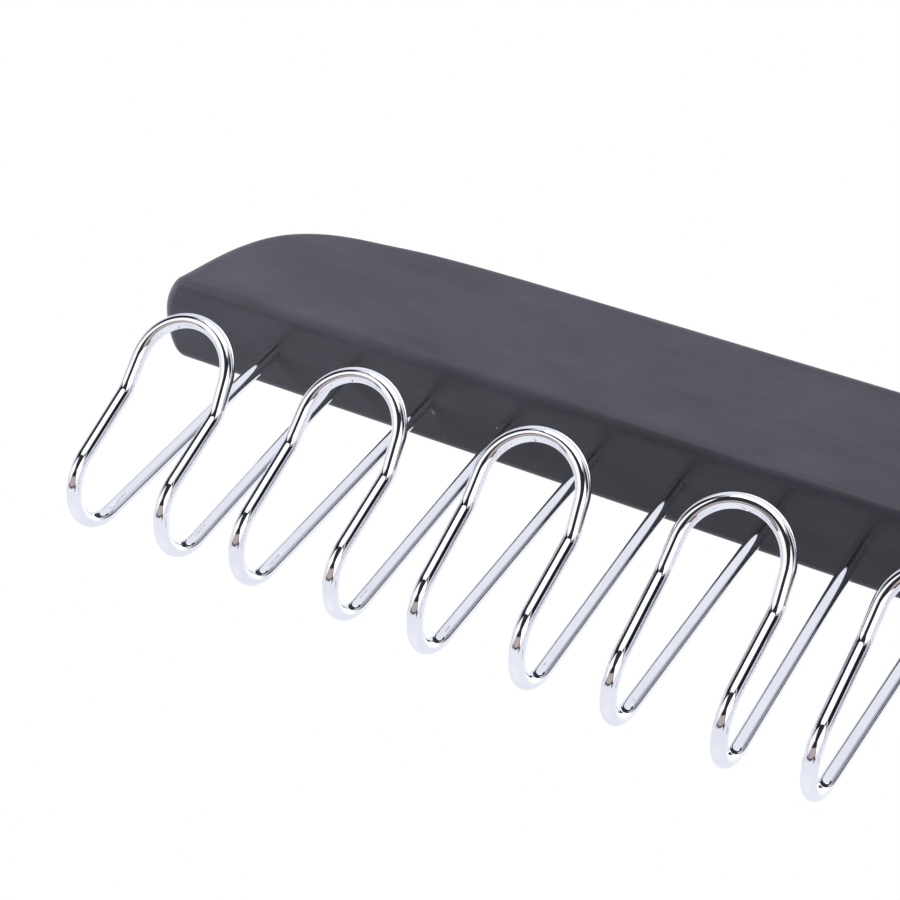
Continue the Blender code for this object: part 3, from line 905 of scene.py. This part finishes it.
def hand_bend(piece, index, hooks):
    """Moves a copy to its place and gives it its own spread, turn, sway and nod."""
    edit(piece)
    under = BAR_LOW.z
    widen = (HOOK_SPREAD_SHARES[index] - 1) * hooks.hole_spacing / 2
    for side in (-1, 1):
        select_points(piece, lambda co: co.z > under - MERGE and co.x * side > 0)
        bpy.ops.transform.translate(value=(side * widen, 0, 0))
    middle = hook_middle(index)
    bpy.ops.mesh.select_all(action="SELECT")
    bpy.ops.transform.translate(value=(middle.x, 0, 0))
    turn_points(HOOK_TURNS[index], "Z", middle)
    select_points(piece, lambda co: co.z < under + MERGE)
    turn_points(HOOK_SWAYS[index], "Y", middle)
    turn_points(HOOK_NODS[index], "X", middle)
    bpy.ops.object.mode_set(mode="OBJECT")


class HANGER_OT_belt_hooks(bpy.types.Operator):
    """Bends one belt hook from wire and copies it along the bar"""

    bl_idname = "hanger.belt_hooks"
    bl_label = "Belt Hooks"

    def execute(self, context):
        bar, hooks, _ = settings(context)
        first = bend_hook(hooks, bar)
        for index, node in enumerate(HOOK_NODES):
            pick(first)
            bpy.ops.object.duplicate(linked=False)
            piece = bpy.context.active_object
            piece.name = f"wire_{node}"
            hand_bend(piece, index, hooks)
            finish_piece(piece, once("bright chrome", chrome), "belt_rail", "bright_chrome", node)
        bpy.data.objects.remove(first, do_unlink=True)
        return {"FINISHED"}


# Swivel hook and what holds it

# Rings of each bend of the hook, steps of the roundings and faces round each turned piece
SHANK_SIDES = 40
REVERSE_STEPS = 16
CROOK_STEPS = 72
TIP_STEPS = 14
TIP_DOME_STEPS = 6
TIP_DOME_END = math.radians(84)
FLANGE_STEPS = 8
BUSH_SIDES = 72
WASHER_STEPS = 5
WASHER_SIDES = 64
NUT_CONE_SIDES = 96


def cut_thread(former, swivel, radius):
    """Feeds the shank's threaded end: the ring swells and narrows once for each turn."""
    lead = 1 - 2 * swivel.thread_depth / radius
    root = 1 - swivel.thread_depth / radius
    former.swell(lead)
    former.feed(swivel.thread_depth)
    former.swell(root / lead)
    turns = int((WASHER_HIGH.z - SWIVEL_LOW.z) / swivel.thread_pitch)
    for _ in range(turns):
        former.feed(swivel.thread_pitch / 2)
        former.swell(1 / root)
        former.feed(swivel.thread_pitch / 2)
        former.swell(root)
    former.feed(swivel.thread_pitch / 2)
    former.swell(1 / root)


def dome_tip(former, radius):
    """Draws the wire's tip in to a dome, ring by ring."""
    height = 0
    width = 1
    for i in range(1, TIP_DOME_STEPS + 1):
        turn = TIP_DOME_END * i / TIP_DOME_STEPS
        former.feed(radius * math.sin(turn) - height)
        former.swell(math.cos(turn) / width)
        height = radius * math.sin(turn)
        width = math.cos(turn)


class HANGER_OT_swivel_hook(bpy.types.Operator):
    """Bends the swivel hook, with a thread on its shank and a domed tip"""

    bl_idname = "hanger.swivel_hook"
    bl_label = "Swivel Hook"

    def execute(self, context):
        swivel = context.scene.hanger_swivel
        radius = swivel.wire / 2
        crook = swivel.seat_radius + radius
        # The bend over the bar and the crook are two arcs that touch
        drop = math.sqrt(crook**2 + 2 * crook * swivel.reverse_radius)
        join = math.atan2(drop, swivel.reverse_radius)
        foot = (0, 0, SWIVEL_LOW.z)
        former = WireBender("chrome_swivel_hook", foot, Z_AXIS, radius, SHANK_SIDES)
        cut_thread(former, swivel, radius)
        former.run_to((0, 0, -swivel.seat_radius - drop))
        former.bend(swivel.reverse_radius, join, X_AXIS, REVERSE_STEPS)
        inward = former.heading.cross(Y_AXIS)
        former.bend(crook, swivel.crook_end + join, inward, CROOK_STEPS)
        outward = Y_AXIS.cross(former.heading)
        former.bend(swivel.tip_radius, swivel.tip_bend, outward, TIP_STEPS)
        dome_tip(former, radius)
        piece = former.close()
        finish_piece(piece, once("bright chrome", chrome), "rod_hook", "bright_chrome", "swivel_hook")
        return {"FINISHED"}


class HANGER_OT_hook_bush(bpy.types.Operator):
    """Turns the flanged bush that the shank runs in"""

    bl_idname = "hanger.hook_bush"
    bl_label = "Hook Bush"

    def execute(self, context):
        swivel = context.scene.hanger_swivel
        bore = swivel.wire / 2 + swivel.fit_gap
        wall = bore + swivel.bush_wall
        rim = BUSH_HIGH.x
        base = BUSH_HIGH.z - swivel.flange_height
        rounding = swivel.flange_round
        edge = swivel.bush_edge
        profile = [
            (bore, BUSH_HIGH.z - edge),
            (bore + edge, BUSH_HIGH.z),
            *arc_points((rim - rounding, BUSH_HIGH.z - rounding), rounding, 90, 0, FLANGE_STEPS),
            (rim, base + edge),
            (rim - edge, base),
            (wall, base),
            (wall, BUSH_LOW.z + edge),
            (wall - edge, BUSH_LOW.z),
            (bore, BUSH_LOW.z),
        ]
        piece = turn_profile("chrome_hook_bush", profile, BUSH_SIDES)
        finish_piece(piece, once("bright chrome", chrome), "belt_rail", "bright_chrome", "hook_bush")
        return {"FINISHED"}


class HANGER_OT_retaining_washer(bpy.types.Operator):
    """Turns the washer, with one edge rounded by the punch and one sharp"""

    bl_idname = "hanger.retaining_washer"
    bl_label = "Retaining Washer"

    def execute(self, context):
        swivel = context.scene.hanger_swivel
        bore = swivel.wire / 2 + swivel.fit_gap
        rim = WASHER_HIGH.x
        low, high = WASHER_LOW.z, WASHER_HIGH.z
        rounding = swivel.washer_round
        edge = swivel.washer_edge
        profile = [
            (bore, high - edge),
            (bore + edge, high),
            (rim - edge, high),
            (rim, high - edge),
            *arc_points((rim - rounding, low + rounding), rounding, 0, -90, WASHER_STEPS),
            *arc_points((bore + rounding, low + rounding), rounding, 270, 180, WASHER_STEPS),
        ]
        piece = turn_profile("zinc_washer", profile, WASHER_SIDES)
        finish_piece(piece, once("zinc plate", zinc), "rod_hook", "zinc_plate", "retaining_washer")
        return {"FINISHED"}


class HANGER_OT_retaining_nut(bpy.types.Operator):
    """Models the hexagon nut, with its corners chamfered by a cone"""

    bl_idname = "hanger.retaining_nut"
    bl_label = "Retaining Nut"

    def execute(self, context):
        swivel = context.scene.hanger_swivel
        low, high = NUT_LOW.z, NUT_HIGH.z
        corner = max(NUT_HIGH.x, NUT_HIGH.y)
        face = corner * math.cos(math.pi / 6) * swivel.nut_face_share
        bore = swivel.wire / 2 + swivel.fit_gap
        deselect_all()
        bpy.ops.mesh.primitive_cylinder_add(
            vertices=6, radius=corner, depth=high - low, location=(0, 0, (low + high) / 2)
        )
        piece = bpy.context.active_object
        piece.name = "zinc_nut"
        place_in_mesh(piece)
        wide = corner + OVERRUN
        drop = (wide - face) * math.tan(swivel.nut_chamfer)
        profile = [
            (bore, low),
            (face, low),
            (wide, low + drop),
            (wide, high - drop),
            (face, high),
            (bore, high),
        ]
        cone = turn_profile("nut_cone", profile, NUT_CONE_SIDES)
        add_modifier(piece, "BOOLEAN", operation="INTERSECT", object=cone, solver="EXACT")
        bpy.data.objects.remove(cone, do_unlink=True)
        finish_piece(piece, once("zinc plate", zinc), "rod_hook", "zinc_plate", "retaining_nut")
        return {"FINISHED"}


# Dried glue

# Flecks of glue beside the holes: hook index, which of its two holes, place beside the wire along
# and across the bar as shares of the wire, length and width in millimetres, turn in degrees
GLUE_FLECKS = (
    (1, 0, 0.50, 0.56, 1.3, 0.75, 62),
    (1, 1, -0.70, 0.20, 0.8, 0.5, 20),
)

# The flecks' thickness in millimetres, and how far their points are moved at random
GLUE_THICKNESS = 0.16
GLUE_ROUGHENING = 0.02 * MM


class HANGER_OT_glue_flecks(bpy.types.Operator):
    """Adds the small flecks of dried glue beside two holes"""

    bl_idname = "hanger.glue_flecks"
    bl_label = "Glue Flecks"

    def execute(self, context):
        _, hooks, _ = settings(context)
        for number, (index, hole, along, across, size, width, turn) in enumerate(GLUE_FLECKS):
            place = hook_hole_places(index, hooks)[hole]
            place += Vector((along * hooks.wire, across * hooks.wire, 0))
            deselect_all()
            bpy.ops.mesh.primitive_ico_sphere_add(subdivisions=4, radius=MM / 2, location=place)
            piece = bpy.context.active_object
            piece.name = f"glue_fleck_{number + 1}"
            place_in_mesh(piece)
            edit(piece)
            bpy.ops.mesh.select_all(action="SELECT")
            bpy.ops.transform.resize(value=(size, width, GLUE_THICKNESS), center_override=place)
            turn_points(turn, "Z", place)
            bpy.ops.transform.vertex_random(offset=GLUE_ROUGHENING, seed=number)
            bpy.ops.mesh.vertices_smooth(factor=0.5, repeat=2)
            bpy.ops.object.mode_set(mode="OBJECT")
            finish_piece(piece, once("dried glue", glue), "belt_rail", None)
        return {"FINISHED"}


# Stage

# The light from all round grows towards this direction by its length
WORLD_LEAN = (0, -0.22, 0.8)
CAMERA_NEAR = 0.01

# Side of the floor, its cuts and the radii between which it turns into the white background
FLOOR_SIZE = 12.0
FLOOR_CUTS = 8
FLOOR_CLEAR_RADIUS = 0.7
FLOOR_WHITE_RADIUS = 2.2


def white_for_view(tree):
    """One for camera, glossy and transmission rays, nought for the light that falls on things."""
    path = tree.nodes.new("ShaderNodeLightPath").outputs
    seen = maths(tree, "MAXIMUM", path["Is Camera Ray"], path["Is Glossy Ray"])
    return maths(tree, "MAXIMUM", seen, path["Is Transmission Ray"])


def make_world(stage):
    """A pale room: light from all round, most of it from above, and white to the camera."""
    world = bpy.data.worlds.new("pale room")
    world.use_nodes = True
    tree = world.node_tree
    light = tree.nodes["Background"]
    light.inputs["Color"].default_value = with_alpha(stage.room)
    ray = tree.nodes.new("ShaderNodeTexCoord").outputs["Generated"]
    lean = add_node(tree, "ShaderNodeVectorMath", ray, WORLD_LEAN, operation="DOT_PRODUCT")
    level = stage.world_light
    strength = map_range(tree, lean.outputs["Value"], -level, 1, 0, level + 1, smooth=False)
    feed(tree, light.inputs["Strength"], strength)
    camera_ray = tree.nodes.new("ShaderNodeLightPath").outputs["Is Camera Ray"]
    tone = mix_colour(tree, camera_ray, with_alpha(stage.mirrored_room), WHITE)
    seen = add_node(tree, "ShaderNodeBackground", Color=tone, Strength=1.0)
    surface = mix_shaders(tree, white_for_view(tree), light.outputs[0], seen.outputs[0])
    feed(tree, tree.nodes["World Output"].inputs["Surface"], surface)
    bpy.context.scene.world = world


def floor_material(stage):
    """Pale floor that turns into the white background further out, and is clear from below."""
    material, tree, shader, place = new_material("pale floor")
    shader.inputs["Base Color"].default_value = with_alpha(stage.floor)
    shader.inputs["Roughness"].default_value = 0.8
    far = add_node(tree, "ShaderNodeVectorMath", place, operation="LENGTH").outputs["Value"]
    fade = map_range(tree, far, FLOOR_CLEAR_RADIUS, FLOOR_WHITE_RADIUS, 0, 1)
    amount = maths(tree, "MULTIPLY", fade, white_for_view(tree))
    white = add_node(tree, "ShaderNodeEmission", Strength=1.0)
    above = mix_shaders(tree, amount, shader.outputs[0], white.outputs[0])
    clear = tree.nodes.new("ShaderNodeBsdfTransparent")
    back = tree.nodes.new("ShaderNodeNewGeometry").outputs["Backfacing"]
    surface = mix_shaders(tree, back, above, clear.outputs[0])
    feed(tree, tree.nodes["Material Output"].inputs["Surface"], surface)
    return material


def hide_from(piece, *rays):
    """Hides a piece of the stage from these kinds of rays."""
    for ray in rays:
        setattr(piece, f"visible_{ray}", False)


def add_floor(stage):
    """Lays the pale floor."""
    deselect_all()
    bpy.ops.mesh.primitive_plane_add(size=FLOOR_SIZE, location=(0, 0, -stage.floor_drop))
    floor = bpy.context.active_object
    floor.name = "floor"
    edit(floor)
    bpy.ops.mesh.subdivide(number_cuts=FLOOR_CUTS)
    bpy.ops.object.mode_set(mode="OBJECT")
    floor.data.materials.append(floor_material(stage))
    hide_from(floor, "glossy", "diffuse", "shadow")


# What cards and lamps face: the middle of the left belt hooks
CARD_TARGET = Vector((-0.09, -0.015, -0.11))

# Cards that the chrome mirrors, like a studio's flags and boards. Directions are seen from the belt
# hooks, in degrees: azimuth from the back (0) over the right (90) to the front (180), and elevation.
# Each card has its direction, distance in metres, width and height in degrees, soft share of its
# edges and tone
CARDS = (
    ("low_back_glow", (2, -38), 2.95, 100, 66, 0.50, (0.94, 0.95, 0.99)),
    ("dark_room_middle", (184, -38), 2.8, 80, 94, 0.25, (0.03, 0.03, 0.035)),
    ("dark_room_right", (130, -29), 2.9, 72, 66, 0.12, (0.03, 0.03, 0.035)),
    ("dark_room_left", (230, -30), 2.9, 72, 60, 0.12, (0.03, 0.03, 0.035)),
    ("white_wall", (30, 50), 2.7, 76, 44, 0.45, (1.02, 1.02, 1.04)),
    ("left_flag_rim", (252, 14), 2.4, 46, 26, 0.35, (0.28, 0.28, 0.30)),
    ("left_flag", (232, 4), 2.3, 44, 36, 0.22, (0.012, 0.012, 0.020)),
    ("right_flag_rim", (78, 32), 2.4, 36, 24, 0.30, (0.28, 0.28, 0.31)),
    ("high_right_haze", (98, 41), 2.5, 76, 24, 0.50, (0.36, 0.37, 0.42)),
    ("high_right_flag", (82, 40), 2.35, 48, 26, 0.45, (0.02, 0.02, 0.035)),
    ("right_flag", (131, 15), 2.3, 50, 28, 0.16, (0.012, 0.012, 0.020)),
    ("high_right_corner", (108, 54), 2.25, 26, 14, 0.30, (0.02, 0.02, 0.03)),
    ("warm_card_rim", (184, -70), 2.2, 84, 31, 0.16, (0.04, 0.04, 0.045)),
    ("warm_card", (184, -68), 2.1, 88, 25, 0.16, (0.50, 0.41, 0.40)),
    ("left_line", (256, 38), 2.35, 10, 24, 0.30, (0.20, 0.20, 0.23)),
    ("low_right_board", (124, -24), 1.9, 50, 42, 0.03, (1.5, 1.5, 1.5)),
    ("low_left_board", (235, -30), 1.9, 52, 34, 0.03, (1.1, 1.1, 1.1)),
)

# Soft lamps: direction, distance, width and height as for the cards, brightness and whether the
# chrome mirrors it
LAMPS = (
    ("front_lamp", (184, 12), 1.9, 46, 42, 1.4, True),
    ("top_lamp", (20, 72), 1.6, 46, 46, 1.05, True),
    ("end_lamp", (258, -13), 0.19, 38, 38, 4.7, False),
)


def facing(azimuth, elevation, distance, axis):
    """Place and turn of a card or lamp that faces the belt hooks with this axis."""
    across = math.radians(azimuth)
    up = math.radians(elevation)
    way = Vector((math.sin(across) * math.cos(up), math.cos(across) * math.cos(up), math.sin(up)))
    return CARD_TARGET + way * distance, (-way).to_track_quat(axis, "Y").to_euler()


def spanning(degrees, distance):
    """The size that fills this angle at this distance."""
    return 2 * distance * math.tan(math.radians(degrees / 2))


def card_material(name, tone, soft):
    """A card with soft edges."""
    material, tree, shader, spot = new_material(name, "UV")
    tree.nodes.remove(shader)
    parts = add_node(tree, "ShaderNodeSeparateXYZ", spot).outputs
    masks = []
    for axis in ("X", "Y"):
        away = maths(tree, "ABSOLUTE", maths(tree, "SUBTRACT", parts[axis], 0.5))
        masks.append(map_range(tree, away, 0.5, 0.5 - soft, 0, 1))
    lit = add_node(tree, "ShaderNodeEmission", Color=(*tone, 1.0), Strength=1.0)
    clear = tree.nodes.new("ShaderNodeBsdfTransparent")
    surface = mix_shaders(tree, maths(tree, "MULTIPLY", *masks), clear.outputs[0], lit.outputs[0])
    feed(tree, tree.nodes["Material Output"].inputs["Surface"], surface)
    return material


def add_cards():
    """Places the cards, which only mirroring pieces see."""
    for name, aim, distance, width, height, soft, tone in CARDS:
        deselect_all()
        place, turn = facing(*aim, distance, "Z")
        bpy.ops.mesh.primitive_plane_add(size=1, location=place, rotation=turn)
        card = bpy.context.active_object
        card.name = name
        card.scale = (spanning(width, distance), spanning(height, distance), 1)
        card.data.materials.append(card_material(name, tone, soft))
        hide_from(card, "camera", "diffuse", "shadow", "transmission")


def add_lamps():
    """Places the soft lamps."""
    for name, aim, distance, width, height, level, mirrored in LAMPS:
        deselect_all()
        place, turn = facing(*aim, distance, "-Z")
        bpy.ops.object.light_add(type="AREA", location=place, rotation=turn)
        lamp = bpy.context.active_object
        lamp.name = name
        lamp.data.shape = "RECTANGLE"
        lamp.data.size = spanning(width, distance)
        lamp.data.size_y = spanning(height, distance)
        lamp.data.energy = level * math.pi * lamp.data.size * lamp.data.size_y
        lamp.visible_glossy = mirrored
        hide_from(lamp, "camera")


class HANGER_OT_stage(bpy.types.Operator):
    """Sets the pale room, the floor, the soft light and the camera"""

    bl_idname = "hanger.stage"
    bl_label = "Stage"

    def execute(self, context):
        stage = context.scene.hanger_stage
        make_world(stage)
        add_floor(stage)
        add_cards()
        add_lamps()
        deselect_all()
        bpy.ops.object.camera_add(location=stage.camera_place, rotation=stage.camera_turn)
        camera = bpy.context.active_object
        camera.name = "camera"
        camera.data.lens = stage.lens
        camera.data.clip_start = CAMERA_NEAR
        context.scene.camera = camera
        context.scene.view_settings.view_transform = "Standard"
        return {"FINISHED"}


OPERATORS = (
    HANGER_OT_wooden_bar,
    HANGER_OT_belt_hooks,
    HANGER_OT_swivel_hook,
    HANGER_OT_hook_bush,
    HANGER_OT_retaining_washer,
    HANGER_OT_retaining_nut,
    HANGER_OT_glue_flecks,
    HANGER_OT_stage,
)
GROUPS = {
    "hanger_bar": HANGER_PG_bar,
    "hanger_hooks": HANGER_PG_hooks,
    "hanger_swivel": HANGER_PG_swivel,
    "hanger_finish": HANGER_PG_finish,
    "hanger_stage": HANGER_PG_stage,
}


class HANGER_PT_panel(bpy.types.Panel):
    """Lists the belt hanger's pieces and sizes"""

    bl_idname = "HANGER_PT_panel"
    bl_label = "Belt Hanger"
    bl_space_type = "VIEW_3D"
    bl_region_type = "UI"
    bl_category = "Belt Hanger"

    def draw(self, context):
        for operator in OPERATORS:
            self.layout.operator(operator.bl_idname)
        for name, group in GROUPS.items():
            box = self.layout.box()
            box.label(text=group.__doc__)
            for setting in group.__annotations__:
                box.prop(getattr(context.scene, name), setting)


def register():
    for group in GROUPS.values():
        bpy.utils.register_class(group)
    for name, group in GROUPS.items():
        setattr(bpy.types.Scene, name, PointerProperty(type=group))
    for operator in OPERATORS:
        bpy.utils.register_class(operator)
    bpy.utils.register_class(HANGER_PT_panel)


def unregister():
    bpy.utils.unregister_class(HANGER_PT_panel)
    for operator in reversed(OPERATORS):
        bpy.utils.unregister_class(operator)
    for name, group in GROUPS.items():
        delattr(bpy.types.Scene, name)
        bpy.utils.unregister_class(group)


def main():
    register()
    bpy.ops.hanger.wooden_bar()
    bpy.ops.hanger.belt_hooks()
    bpy.ops.hanger.swivel_hook()
    bpy.ops.hanger.hook_bush()
    bpy.ops.hanger.retaining_washer()
    bpy.ops.hanger.retaining_nut()
    bpy.ops.hanger.glue_flecks()
    bpy.ops.hanger.stage()
    deselect_all()


if __name__ == "__main__":
    main()
